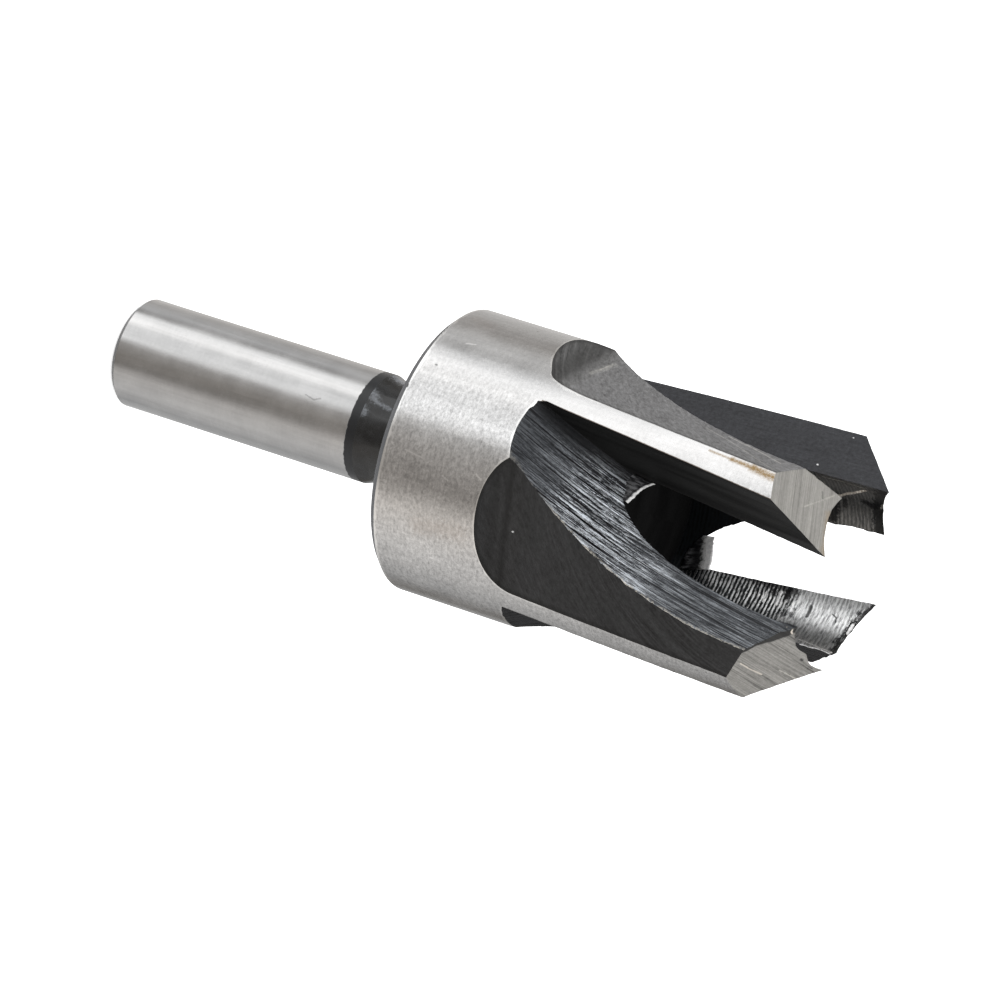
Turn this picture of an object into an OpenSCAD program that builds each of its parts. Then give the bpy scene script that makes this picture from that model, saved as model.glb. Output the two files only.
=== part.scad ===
// Tapered plug cutter: a round shank, a relieved neck and a cup-shaped head with
// four claws, all turned, bored and milled from one bar of tool steel.
// The shank's end face stands on z = 0 and the claws point up, along +Z.

/* [Shank] */
// Diameter of the shank that the drill chuck grips
shank_d = 10; // [6:0.5:13]
// Length of the shank, from its end face to the neck
shank_len = 25.3; // [15:0.1:60]
// Width of the chamfer round the end of the shank
shank_chamfer = 0.5; // [0.1:0.1:1.5]

/* [Neck] */
// Length of the neck between the shank and the head
neck_len = 6.1; // [4:0.1:20]
// Depth of the neck below the shank's surface
neck_relief = 0.45; // [0.1:0.05:1.5]
// Length of the slope that leads down from the shank to the neck
neck_slope = 1.2; // [0.2:0.1:2]
// Radius of the fillet between the neck and the back of the head
neck_fillet = 0.8; // [0.2:0.1:1.5]

/* [Head] */
// Diameter of the head, over its lands
head_d = 25.7; // [20:0.1:36]
// Length of the head, from its back face to the tips of the claws
head_len = 40.1; // [32:0.1:60]
// Width of the chamfer round the back of the head
back_chamfer = 0.65; // [0.1:0.05:1.5]

/* [Tapered bore] */
// Diameter of the bore at the tips of the claws
bore_d = 16.2; // [12:0.1:18]
// Slope of the bore's wall, which narrows towards the bottom
bore_taper = 0.7; // [0:0.1:3]
// Depth of the tapered wall below the tips
bore_depth = 19; // [12:0.5:30]
// Angle of the drill point that the bottom of the bore keeps
point_angle = 118; // [90:1:150]

/* [Claws] */
// Number of claws
claw_count = 4; // [2:1:4]
// Height of the cutting face above the head's centre line, at the tips
rake_height = 3.2; // [0:0.1:4]
// Lean of the cutting face along the head
rake_lean = 6; // [0:0.5:10]
// Slope of the end face, down and outwards from the tip
end_slope = 41.4; // [10:0.1:50]
// Clearance of the end face, down behind the cutting edge
end_clearance = 7.1; // [2:0.1:20]

/* [Gullets] */
// Distance from the head's centre line to the floor of the gullet, at the tips
gullet_height = 3.1; // [1:0.1:5]
// Length of the gullet along the head, from the tips to where its floor runs out
gullet_len = 28; // [18:0.1:32]
// Height of the mill's centre above the tips
gullet_rise = 0.9; // [0:0.1:4]
// Angle by which the mill opens the gullet wider than a square corner
gullet_draft = 10; // [0:1:20]

/* [Relief flats] */
// Width of the land left behind the cutting face, at the tips
land_w = 2.4; // [1:0.1:5]
// Depth of the flat below the head's surface, at the tips
flat_depth = 2.9; // [1:0.05:4]
// Slope of the flat, which gets shallower towards the shank
flat_slope = 2.7; // [0:0.1:5]
// Length of the flat along the head, to the start of its rounded end
flat_len = 26.2; // [15:0.1:28]
// Diameter of the end mill that rounds the end of the flat
flat_mill_d = 10.5; // [4:0.1:14]
// Turn of the flat's rounded end
flat_turn = 2.2; // [0:0.1:8]

/* [Uneven milling] */
// How much further forward each cutting face was left, going round the claws
face_left = [0.2, 0.7, 0, 0.4]; // [0:0.1:1]
// How much shallower the gullet in front of each claw was left, going round
floor_left = [0, 0.3, 0.8, 0.2]; // [0:0.1:1.5]

/* [Hidden] */
$fn = 96;

head_r = head_d / 2;
shank_r = shank_d / 2;
neck_r = shank_r - neck_relief;
head_z = shank_len + neck_len;
tip_z = head_z + head_len;

// What a cutting tool's body reaches past the steel, so that each cut is clean
clear = 2;
reach = head_d + head_len;

// The bore
bore_r = bore_d / 2;
bore_floor_r = bore_r - bore_depth * tan(bore_taper);
point_h = bore_floor_r / tan(point_angle / 2);
bore_floor_z = tip_z - bore_depth;

// The value that belongs to a claw, from a list that goes round them
function of_claw(list, claw) = list[claw % len(list)];

// Height of a claw's cutting face above the centre line, at the tips
function face_y(claw) = rake_height + of_claw(face_left, claw);

// Distance of a claw's tip, the inner corner of its cutting face, from the axis
// along that face
function tip_x(claw) = sqrt(bore_r * bore_r - face_y(claw) * face_y(claw));

// The gullet's floor is the arc of a side-and-face mill that sinks in from the
// surface of the head
gullet_depth = head_r - gullet_height;
gullet_run = gullet_len + gullet_rise;
gullet_mill_r = (gullet_run * gullet_run + gullet_depth * gullet_depth) / (2 * gullet_depth);
mill_facets = 360;

// The flat lies so far round the head that it leaves the land
flat_r = head_r - flat_depth;
flat_angle = asin(rake_height / head_r) - land_w / head_r * 180 / PI - acos(flat_r / head_r);

// Outline of the fillet, from the neck up to the back of the head
fillet_step = 15;
function neck_corner() = [for (turn = [0 : fillet_step : 90]) [
    neck_r + neck_fillet * (1 - cos(turn)),
    head_z - neck_fillet * (1 - sin(turn)),
]];

// Shank, neck and head as they leave the lathe
module turned_blank() {
    rotate_extrude() polygon([
        [0, 0],
        [shank_r - shank_chamfer, 0],
        [shank_r, shank_chamfer],
        [shank_r, shank_len],
        [neck_r, shank_len + neck_slope],
        each neck_corner(),
        [head_r - back_chamfer, head_z],
        [head_r, head_z + back_chamfer],
        [head_r, tip_z],
        [0, tip_z],
    ]);
}

// Tapered bore with its drill point, open at the tips
module bore() {
    rotate_extrude() polygon([
        [0, bore_floor_z - point_h],
        [bore_floor_r, bore_floor_z],
        [bore_r + clear * tan(bore_taper), tip_z + clear],
        [0, tip_z + clear],
    ]);
}

// L-shaped gullet in front of a cutting face: the face is its wall, and its floor
// is the arc of the mill, which leans with the face
module gullet(claw) {
    floor_x = gullet_height + of_claw(floor_left, claw);
    translate([0, face_y(claw), tip_z]) rotate([-rake_lean, 0, 0])
        translate([floor_x + gullet_mill_r, 0, gullet_rise]) rotate([-90, 0, 0])
            cylinder(r1 = gullet_mill_r, r2 = gullet_mill_r + reach * tan(gullet_draft),
                     h = reach, $fn = mill_facets);
}

// Flat that relieves the back of a claw, with the round end that its mill leaves
module relief_flat() {
    mill_r = flat_mill_d / 2;
    rotate([0, 0, flat_angle]) translate([flat_r, 0, tip_z]) rotate([flat_turn, -flat_slope, 0])
        translate([0, 0, -flat_len]) {
            translate([0, -reach / 2, 0]) cube([reach, reach, 2 * reach]);
            translate([mill_r, 0, 0]) rotate([90, 0, 0])
                cylinder(r = mill_r, h = reach, center = true);
        }
}

// Ground end face, from the tip of a claw down to its back
module end_face(claw) {
    translate([tip_x(claw), face_y(claw), tip_z]) rotate([end_clearance, end_slope, 0])
        translate([-reach / 2, -reach / 2, 0]) cube(reach);
}

module plug_cutter() {
    color("silver") difference() {
        turned_blank();
        bore();
        for (claw = [0 : claw_count - 1]) rotate([0, 0, claw * 360 / claw_count]) {
            gullet(claw);
            relief_flat();
            end_face(claw);
        }
    }
}

plug_cutter();
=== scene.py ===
import math

import bmesh
import bpy
from mathutils import Matrix, Vector, noise


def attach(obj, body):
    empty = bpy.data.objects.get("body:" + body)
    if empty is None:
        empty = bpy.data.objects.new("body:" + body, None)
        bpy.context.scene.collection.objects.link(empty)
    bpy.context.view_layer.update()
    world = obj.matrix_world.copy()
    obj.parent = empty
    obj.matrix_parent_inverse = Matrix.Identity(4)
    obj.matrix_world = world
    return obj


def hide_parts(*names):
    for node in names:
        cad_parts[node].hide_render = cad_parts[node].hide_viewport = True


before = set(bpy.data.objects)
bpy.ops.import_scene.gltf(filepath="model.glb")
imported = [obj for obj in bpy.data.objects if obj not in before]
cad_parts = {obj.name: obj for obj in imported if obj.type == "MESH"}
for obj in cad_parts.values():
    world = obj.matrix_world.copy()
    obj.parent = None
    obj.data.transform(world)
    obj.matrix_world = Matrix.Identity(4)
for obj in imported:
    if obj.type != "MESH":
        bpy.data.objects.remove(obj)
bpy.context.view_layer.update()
mm = 0.001
print("frame loaded:", sorted(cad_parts))


# helpers that keep the node work short

def plug(tree, made, key, value):
    # a name is written without its spaces, and i0, i1 mean a place in the list
    if key[0] == "i" and key[1:].isdigit():
        socket = made.inputs[int(key[1:])]
    else:
        socket = next(s for s in made.inputs if s.name.replace(" ", "") == key)
    if isinstance(value, bpy.types.Node):
        value = value.outputs[0]
    if isinstance(value, bpy.types.NodeSocket):
        tree.links.new(value, socket)
    else:
        socket.default_value = value


def addNode(tree, kind, settings=None, **inputs):
    made = tree.nodes.new("ShaderNode" + kind)
    for key, value in (settings or {}).items():
        setattr(made, key, value)
    for key, value in inputs.items():
        plug(tree, made, key, value)
    return made


def maths(tree, operation, a, b=0.0, c=0.0, clamp=False):
    return addNode(tree, "Math", {"operation": operation, "use_clamp": clamp}, i0=a, i1=b, i2=c)


def times(tree, a, b, clamp=False):
    return maths(tree, "MULTIPLY", a, b, clamp=clamp)


def plus(tree, a, b):
    return maths(tree, "ADD", a, b)


def minus(tree, a, b):
    return maths(tree, "SUBTRACT", a, b)


def swing(tree, value, factor):
    # a noise value, which lies about a half, as a swing to both sides of nothing
    return times(tree, minus(tree, value, 0.5), factor)


def coordinate(tree, vector, axis):
    return addNode(tree, "SeparateXYZ", None, Vector=vector).outputs[axis]


def remap(tree, value, low, high, toLow=0.0, toHigh=1.0):
    return addNode(tree, "MapRange", {"interpolation_type": "SMOOTHSTEP"},
                   i0=value, i1=low, i2=high, i3=toLow, i4=toHigh)


def grey(level):
    return (level, level, level, 1.0)


def blankMaterial(name):
    material = bpy.data.materials.new(name)
    material.use_nodes = True
    material.node_tree.nodes.clear()
    return material, material.node_tree


def addObject(name, data):
    made = bpy.data.objects.new(name, data)
    bpy.context.scene.collection.objects.link(made)
    return made


def meshObject(name, bm):
    mesh = bpy.data.meshes.new(name)
    bm.to_mesh(mesh)
    bm.free()
    return addObject(name, mesh)


def objectPlace(tree):
    return addNode(tree, "TexCoord").outputs["Object"]


def mixColour(tree, factor, a, b, blend="MIX"):
    made = addNode(tree, "Mix", {"data_type": "RGBA", "blend_type": blend},
                   i0=factor, i6=a, i7=b)
    return made.outputs[2]


def mixValue(tree, factor, a, b):
    return addNode(tree, "Mix", {"data_type": "FLOAT"}, i0=factor, i2=a, i3=b).outputs[0]


def noiseOf(tree, vector, scale, detail=3.0, roughness=0.5, distortion=0.0):
    return addNode(tree, "TexNoise", None, Vector=vector, Scale=scale, Detail=detail,
                   Roughness=roughness, Distortion=distortion)


def markNoise(tree, marks, along, across, detail, roughness, distortion=0.0, shift=(0, 0, 0)):
    # noise that is drawn out along the tool marks
    place = addNode(tree, "Mapping", {"vector_type": "POINT"}, Vector=marks, Location=shift,
                    Scale=(along, across, 1))
    return noiseOf(tree, place, 1.0, detail, roughness, distortion)


def newGroup(name, inputs, outputs):
    tree = bpy.data.node_groups.new(name, "ShaderNodeTree")
    for label, kind, value in inputs:
        made = tree.interface.new_socket(label, in_out="INPUT", socket_type="NodeSocket" + kind)
        if value is not None:
            made.default_value = value
    for label, kind in outputs:
        tree.interface.new_socket(label, in_out="OUTPUT", socket_type="NodeSocket" + kind)
    return tree, tree.nodes.new("NodeGroupInput").outputs, tree.nodes.new("NodeGroupOutput")


def useGroup(tree, group, **inputs):
    made = tree.nodes.new("ShaderNodeGroup")
    made.node_tree = group
    for key, value in inputs.items():
        plug(tree, made, key, value)
    return made.outputs


# the camera, at the photograph's angle
camera = {
    "place": (0.3588885, 0.23135255, 0.22426971),
    "right": (-0.15532075, -0.46384489, 0.87219458),
    "up": (0.61420589, -0.73685186, -0.28248978),
    "back": (0.77370963, 0.49183052, 0.39934465),
    "lens": 192.218,
    "sensor": 36.0,
    "azimuth": 32.4,
}


def makeCamera():
    data = bpy.data.cameras.new("photoCamera")
    data.lens, data.sensor_width = camera["lens"], camera["sensor"]
    data.clip_start, data.clip_end = 0.01, 20
    made = addObject("photoCamera", data)
    turn = Matrix((camera["right"], camera["up"], camera["back"])).transposed()
    made.matrix_world = Matrix.Translation(camera["place"]) @ turn.to_4x4()
    bpy.context.scene.camera = made


makeCamera()
print("camera ready")


# a studio of pale floor, soft lamps, and the tent of cards that bright steel mirrors
studio = {
    "floorSize": 6.0,
    "floorWhite": 0.86,
    "floorGlow": 0.62,  # what brings the lit floor up to white, for the eye and for mirrors alone
    "worldLevel": 0.55,
    # azimuth in degrees, level and warmth of the cards that the head mirrors
    "cards": [
        (-150, 0.72, 0.01), (-120, 0.70, 0.03), (-105, 0.59, 0.03), (-90, 0.46, 0.04),
        (-75, 0.39, 0.06), (-57, 0.81, 0.01), (-50, 0.44, 0.03), (-44, 0.51, 0.00),
        (-38, 1.47, 0.00), (-20, 1.49, 0.01), (-10, 1.10, 0.00), (4, 1.22, 0.00),
        (9, 1.71, 0.00), (14, 1.32, 0.00), (19, 0.54, 0.03), (36, 0.43, 0.06),
        (58, 0.28, 0.08), (66, 0.32, 0.08), (82, 0.74, 0.07), (115, 0.79, 0.03),
        (155, 0.43, 0.01), (175, 0.15, 0.08), (195, 0.56, 0.00),
    ],
    # and of those close by, that the shank mirrors
    "nearCards": [
        (-150, 0.72, 0.01), (-120, 0.69, 0.04), (-90, 0.49, 0.03), (-65, 0.63, 0.00),
        (-50, 0.36, 0.02), (-38, 1.36, 0.00), (-20, 1.53, 0.01), (-10, 1.00, 0.00),
        (4, 1.05, 0.00), (14, 1.18, 0.00), (26, 0.43, 0.04), (48, 0.28, 0.08),
        (66, 0.25, 0.07), (82, 0.59, 0.04), (115, 0.66, 0.02), (155, 0.45, 0.00),
        (195, 0.56, 0.00),
    ],
    "roofLevel": 0.75,
    # the tent's radius and height in metres, from the floor by the shank to its top
    "tentProfile": [(0.0048, 0.00015), (0.12, 0.00015), (0.45, 0.00015), (0.5, 0.05), (0.5, 0.35),
                    (0.38, 0.55), (0.2, 0.66), (0.0, 0.7)],
    # near the shank's foot the cards' angles grow by out / ((out - gap) * share)
    "spreadGap": 0.0025, "spreadShare": 1.085,
    "lamps": [
        # place, size, watts
        ((0.45, -0.35, 0.75), 0.7, 9.0),
        ((-0.35, 0.55, 0.65), 0.9, 6.0),
    ],
}


def seenRays(tree):
    # the rays that see the background: the camera's, and those in metal and glass
    paths = addNode(tree, "LightPath")
    seen = maths(tree, "MAXIMUM", paths.outputs["Is Camera Ray"], paths.outputs["Is Glossy Ray"])
    return maths(tree, "MAXIMUM", seen, paths.outputs["Is Transmission Ray"])


def makeFloor():
    bm = bmesh.new()
    bmesh.ops.create_grid(bm, x_segments=2, y_segments=2, size=studio["floorSize"] / 2)
    floor = meshObject("paleFloor", bm)
    material, tree = blankMaterial("paleFloor")
    seen = seenRays(tree)
    lit = addNode(tree, "BsdfDiffuse", None, Color=grey(studio["floorWhite"]))
    white = addNode(tree, "Emission", None, Color=grey(1.0), Strength=times(tree, seen, studio["floorGlow"]))
    both = addNode(tree, "AddShader", None, i0=lit, i1=white)
    addNode(tree, "OutputMaterial", None, Surface=both)
    floor.data.materials.append(material)


def makeTent():
    # a dome of cards that only the steel's reflections see
    bm = bmesh.new()
    rim = [bm.verts.new((r, 0, z)) for r, z in studio["tentProfile"]]
    sides = [bm.edges.new(pair) for pair in zip(rim, rim[1:])]
    bmesh.ops.spin(bm, geom=rim + sides, cent=(0, 0, 0), axis=(0, 0, 1), angle=math.tau,
                   steps=72, use_merge=True)
    tent = meshObject("cardTent", bm)
    tent.visible_camera = tent.visible_diffuse = tent.visible_shadow = False
    tent.visible_transmission = tent.visible_volume_scatter = False

    material, tree = blankMaterial("cardTent")
    material.cycles.emission_sampling = "NONE"
    place = objectPlace(tree)
    out = addNode(tree, "VectorMath", {"operation": "LENGTH"}, i0=place).outputs["Value"]
    facing = math.radians(camera["azimuth"])
    ahead = addNode(tree, "VectorRotate", {"rotation_type": "Z_AXIS"}, Vector=place, Angle=-facing)
    turn = maths(tree, "ARCTAN2", coordinate(tree, ahead, "Y"), coordinate(tree, ahead, "X"))
    # close to the shank's foot the cards are spread, so that its bands run straight to the end
    beyond = times(tree, minus(tree, out, studio["spreadGap"]), studio["spreadShare"])
    spreading = maths(tree, "DIVIDE", out, beyond)
    turn = times(tree, turn, maths(tree, "MAXIMUM", spreading, 1.0))
    turn = maths(tree, "DIVIDE", plus(tree, turn, facing), math.tau)
    turn = maths(tree, "FRACT", plus(tree, turn, 1.0))
    peak = 2.0  # a ramp holds no more than 1, so the light is halved in it
    rings = []
    for ring in ("nearCards", "cards"):
        ramp = addNode(tree, "ValToRGB", None, Fac=turn)
        stops = sorted((azimuth / 360 % 1, level, warmth) for azimuth, level, warmth in studio[ring])
        band = ramp.color_ramp.elements
        while len(band) < len(stops):
            band.new(0.5)
        for element, stop in zip(band, stops):
            element.position = stop[0]
        for element, (_, level, warmth) in zip(band, stops):
            element.color = [level * part / peak for part in (1 + warmth, 1, 1 - warmth)] + [1]
        rings.append(ramp.outputs[0])
    both = mixColour(tree, remap(tree, out, 0.058, 0.074), rings[0], rings[1])
    roof = remap(tree, coordinate(tree, place, "Z"), 0.35, 0.6)
    colour = mixColour(tree, roof, both, grey(studio["roofLevel"] / peak))
    glow = addNode(tree, "Emission", None, Color=colour, Strength=peak)
    addNode(tree, "OutputMaterial", None, Surface=glow)
    tent.data.materials.append(material)


def makeWorld():
    scene = bpy.context.scene
    world = bpy.data.worlds.new("studioWorld")
    scene.world = world
    world.use_nodes = True
    tree = world.node_tree
    tree.nodes.clear()
    seen = seenRays(tree)
    level = mixValue(tree, seen, studio["worldLevel"], 1.0)
    sky = addNode(tree, "Background", None, Color=grey(1.0), Strength=level)
    addNode(tree, "OutputWorld", None, Surface=sky)


def makeLamps():
    for number, (place, size, watts) in enumerate(studio["lamps"]):
        data = bpy.data.lights.new(f"softLamp{number + 1}", "AREA")
        data.shape, data.size, data.energy = "DISK", size, watts
        lamp = addObject(f"softLamp{number + 1}", data)
        lamp.location = place
        aim = Vector((0, 0, 0.04)) - Vector(place)
        lamp.rotation_euler = aim.to_track_quat("-Z", "Y").to_euler()
        lamp.visible_glossy = False


bpy.context.scene.view_settings.view_transform = "Standard"
makeFloor()
makeTent()
makeWorld()
makeLamps()
print("studio ready")


# the cutter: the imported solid's own surfaces, sliced finely and nicked along its edges
cutter = {
    "shankR": 5.0, "shankLen": 25.3, "brightEnd": 24.4,
    "headR": 12.85, "headZ": 31.4, "backChamfer": 0.65, "tipZ": 71.5,
    "boreR": 8.1, "boreSlope": math.tan(math.radians(0.7)), "boreDepth": 19.0, "ribPitch": 0.365,
    "faceHeights": [3.4, 3.9, 3.2, 3.6], "rakeLean": 6.0,
    "floorHeights": [3.1, 3.4, 3.9, 3.3], "floorBase": 3.1,
    "gulletLen": 28.0, "gulletRise": 0.9, "draftSlope": math.tan(math.radians(10)),
    "landWidth": 2.4, "rakeHeight": 3.2, "flatDepth": 2.9, "flatSlope": 2.7, "flatTurn": 2.2,
    "flatLen": 26.2, "flatMillR": 5.25, "millMarksCentre": (0, 12),
    "endSlope": 41.4, "endClearance": 7.1,
    "tipMarks": [27, 40, 40, 40], "sliceStep": 0.5,
    # how much more ragged the edges of a claw are, and how much longer it was left
    "raggedness": [1.0, 2.0, 1.8, 1.2], "leftLonger": [0, 0, 0, 0.48],
    # without a seed the nicks in the edges are other ones each time
    "nickSeed": 1,
    # places drawn out of true by the mill and by wear: centre, reach and shift
    "drawn": [((12.79, -1.15, 44.4), 2.4, (-0.04, -0.45, -0.85)),
              ((-1.5, 8.0, 70.3), 1.7, (0.0, -0.42, 0.34)),
              ((0.9, 8.05, 69.9), 1.2, (0.0, -0.24, 0.2)),
              ((-3.9, 7.1, 71.5), 1.2, (-0.05, -0.16, 0.2)),
              ((2.35, 7.9, 69.7), 1.1, (-0.05, -0.3, 0.5)),
              ((12.79, 0.63, 43.68), 1.0, (-0.05, 0.36, 0.22))],
}
regions = ["shank", "shankEnd", "neck", "back", "backRing", "land", "bore", "boreEnd",
           "rake", "floor", "flat", "flatEnd", "tip"]


def turned(angle, axis):
    return Matrix.Rotation(math.radians(angle), 3, axis)


def inClaw(k, p):
    # a place or a direction in the frame of claw k, and with -k from there back into the part's frame
    return turned(-90 * k, "Z") @ p


def boreRadius(z):
    return cutter["boreR"] - (cutter["tipZ"] - z) * cutter["boreSlope"]


def clawFrame(claw):
    # everything about one claw, in its own frame, in mm
    c = cutter
    lean = turned(-c["rakeLean"], "X")
    foot = Vector((0, c["faceHeights"][claw], c["tipZ"]))
    depth = c["headR"] - c["floorBase"]
    run = c["gulletLen"] + c["gulletRise"]
    millR = (run * run + depth * depth) / (2 * depth)
    flatR = c["headR"] - c["flatDepth"]
    flatAngle = (math.degrees(math.asin(c["rakeHeight"] / c["headR"])
                              - c["landWidth"] / c["headR"] - math.acos(flatR / c["headR"])))
    flatTurn = turned(flatAngle, "Z") @ turned(-c["flatSlope"], "Y") @ turned(c["flatTurn"], "X")
    tipX = math.sqrt(c["boreR"] ** 2 - c["faceHeights"][claw] ** 2)
    return {
        "rakeNormal": lean @ Vector((0, 1, 0)),
        "millCentre": foot + lean @ Vector((c["floorHeights"][claw] + millR, 0, c["gulletRise"])),
        "millR": millR,
        "flatNormal": flatTurn @ Vector((1, 0, 0)), "flatAcross": flatTurn @ Vector((0, 1, 0)),
        "flatAlong": flatTurn @ Vector((0, 0, 1)),
        "flatFoot": turned(flatAngle, "Z") @ Vector((flatR, 0, c["tipZ"])),
        "endNormal": turned(c["endSlope"], "Y") @ turned(c["endClearance"], "X") @ Vector((0, 0, 1)),
        "endFoot": Vector((tipX, c["faceHeights"][claw], c["tipZ"])),
    }


claws = [clawFrame(claw) for claw in range(4)]


def millPlace(claw, p):
    # distance from the gullet mill's axis, height along it, and the direction out from it
    away = p - claw["millCentre"]
    height = away.dot(claw["rakeNormal"])
    out = away - claw["rakeNormal"] * height
    return out.length, height, out.normalized()


def millRim(claw, height):
    # radius of the gullet mill, which leans outwards
    return claw["millR"] + height * cutter["draftSlope"]


def flatEndPlace(claw, p):
    millCentre = (claw["flatFoot"] - claw["flatAlong"] * cutter["flatLen"]
                  + claw["flatNormal"] * cutter["flatMillR"])
    away = p - millCentre
    out = away - claw["flatAcross"] * away.dot(claw["flatAcross"])
    return out.length, out.normalized()


def depthUnder(k, p, surface):
    # how far a place lies under the flat or the end face of claw k
    claw = claws[k % 4]
    return -(inClaw(k, p) - claw[surface + "Foot"]).dot(claw[surface + "Normal"])


def regionOf(p, normal):
    c = cutter
    r = math.hypot(p.x, p.y)
    if p.z < c["shankLen"] + 0.01 and r < c["shankR"] + 0.05:
        return ("shank", 0) if abs(normal.z) < 0.1 else ("shankEnd", 0)
    if p.z < c["headZ"] - 0.02 and r < c["headR"] - 1 and normal.z > -0.999:
        return ("neck", 0)
    if normal.z < -0.99:
        return ("back", 0)
    if p.z < c["headZ"] + c["backChamfer"] and normal.z < -0.5:
        return ("backRing", 0)
    if r > c["headR"] - 0.03 and abs(normal.z) < 0.02 and normal.x * p.x + normal.y * p.y > 0:
        return ("land", 0)
    if abs(r - boreRadius(p.z)) < 0.06 and normal.x * p.x + normal.y * p.y < 0 and abs(normal.z) < 0.15:
        return ("bore", 0)
    found = []
    for k, claw in enumerate(claws):
        q, n = inClaw(k, p), inClaw(k, normal)
        reach, height, out = millPlace(claw, q)
        found.append((abs(height) + (1 - n.dot(claw["rakeNormal"])) * 3, "rake", k))
        found.append((abs(reach - millRim(claw, height)) + (1 + n.dot(out)) * 2, "floor", k))
        for name, surface in (("flat", "flat"), ("tip", "end")):
            gap = abs(depthUnder(k, p, surface))
            found.append((gap + (1 - n.dot(claw[surface + "Normal"])) * 9, name, k))
        endReach, endOut = flatEndPlace(claw, q)
        found.append((abs(endReach - c["flatMillR"]) + (1 + n.dot(endOut)) * 9, "flatEnd", k))
    gap, name, k = min(found)
    if gap > 0.2 and p.z < c["tipZ"] - c["boreDepth"] + 0.05 and r < c["boreR"]:
        return ("boreEnd", 0)
    return (name, k)


def markPlace(name, k, p, centreAngle):
    # a place on the surface in mm: first along the tool marks there, then across them
    c = cutter
    r = math.hypot(p.x, p.y)
    angle = math.atan2(p.y, p.x) - math.radians(camera["azimuth"])
    angle = (angle - centreAngle + math.pi) % math.tau - math.pi + centreAngle
    if name in ("shank", "land", "neck", "backRing", "bore"):
        return {"shank": 5, "land": 12.85, "neck": 5, "backRing": 12.5, "bore": 8}[name] * angle, p.z
    if name in ("back", "boreEnd", "shankEnd"):
        return 6 * angle, r
    claw = claws[k]
    q = inClaw(k, p)
    if name == "rake":
        return q.z, q.x + 20 * k
    if name == "floor":
        height, out = millPlace(claw, q)[1:]
        return claw["millR"] * math.atan2(out.z, -out.x), height + 20 * k
    if name in ("flat", "flatEnd"):
        # arcs of the face mill, about a point off the flat
        away = q - claw["flatFoot"]
        centre = c["millMarksCentre"]
        aside = away.dot(claw["flatAlong"]) + centre[0], away.dot(claw["flatAcross"]) + centre[1]
        return 16 * math.atan2(aside[1], -aside[0]), math.hypot(*aside) + 30 * k
    away = q - claw["endFoot"]
    side = claw["endNormal"].cross(Vector((0, 0, 1))).normalized()
    place = away.dot(side), away.dot(side.cross(claw["endNormal"]))
    lean = math.radians(c["tipMarks"][k])
    return (place[0] * math.cos(lean) - place[1] * math.sin(lean),
            place[0] * math.sin(lean) + place[1] * math.cos(lean) + 30 * k)


def trueNormal(name, k, p, plain):
    # the exact normal of the turned and milled surfaces, which the facets only come near
    if name in ("shank", "land"):
        return Vector((p.x, p.y, 0)).normalized()
    if name == "bore":
        inward = Vector((-p.x, -p.y, 0)).normalized()
        return (inward + Vector((0, 0, cutter["boreSlope"]))).normalized()
    if name in ("floor", "flatEnd"):
        claw, q = claws[k], inClaw(k, p)
        if name == "flatEnd":
            return inClaw(-k, -flatEndPlace(claw, q)[1])
        out = millPlace(claw, q)[2]
        return inClaw(-k, (claw["rakeNormal"] * cutter["draftSlope"] - out).normalized())
    return plain


# tone of each surface: how light it shows, by region and claw, the last one for all claws that follow.
# Besides the steel's own colour it holds painted light and shade: flats, run-outs, rakes, gullet floors
# and bore walls are painted lighter or darker per claw by how each faces the light, and the first claw's
# rake and the bore's end are painted near black as shade
tonesAndShades = {
    "shank": [(0.60, 0.60, 0.60)], "shankEnd": [(0.10, 0.10, 0.10)], "neck": [(0.0105, 0.011, 0.012)],
    "back": [(0.04, 0.04, 0.042)], "backRing": [(0.08, 0.083, 0.09)], "land": [(0.62, 0.62, 0.62)],
    "bore": [(0.55, 0.55, 0.55), (0.45, 0.45, 0.45), (0.95, 0.96, 0.97), (0.24, 0.237, 0.23)],
    "boreEnd": [(0.004, 0.004, 0.004)],
    "rake": [(0.006, 0.006, 0.006), (0.020, 0.021, 0.023), (0.020, 0.021, 0.023), (0.030, 0.031, 0.035)],
    "floor": [(0.59, 0.63, 0.68), (0.036, 0.036, 0.039), (0.5, 0.52, 0.56)],
    "flat": [(0.135, 0.135, 0.137), (0.025, 0.0252, 0.026), (0.05, 0.05, 0.05), (0.045, 0.046, 0.048)],
    "flatEnd": [(0.10, 0.10, 0.10), (0.023, 0.023, 0.0235), (0.04, 0.04, 0.04)],
    "tip": [(0.27, 0.262, 0.245), (0.25, 0.243, 0.228), (0.27, 0.262, 0.245)],
}
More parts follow.
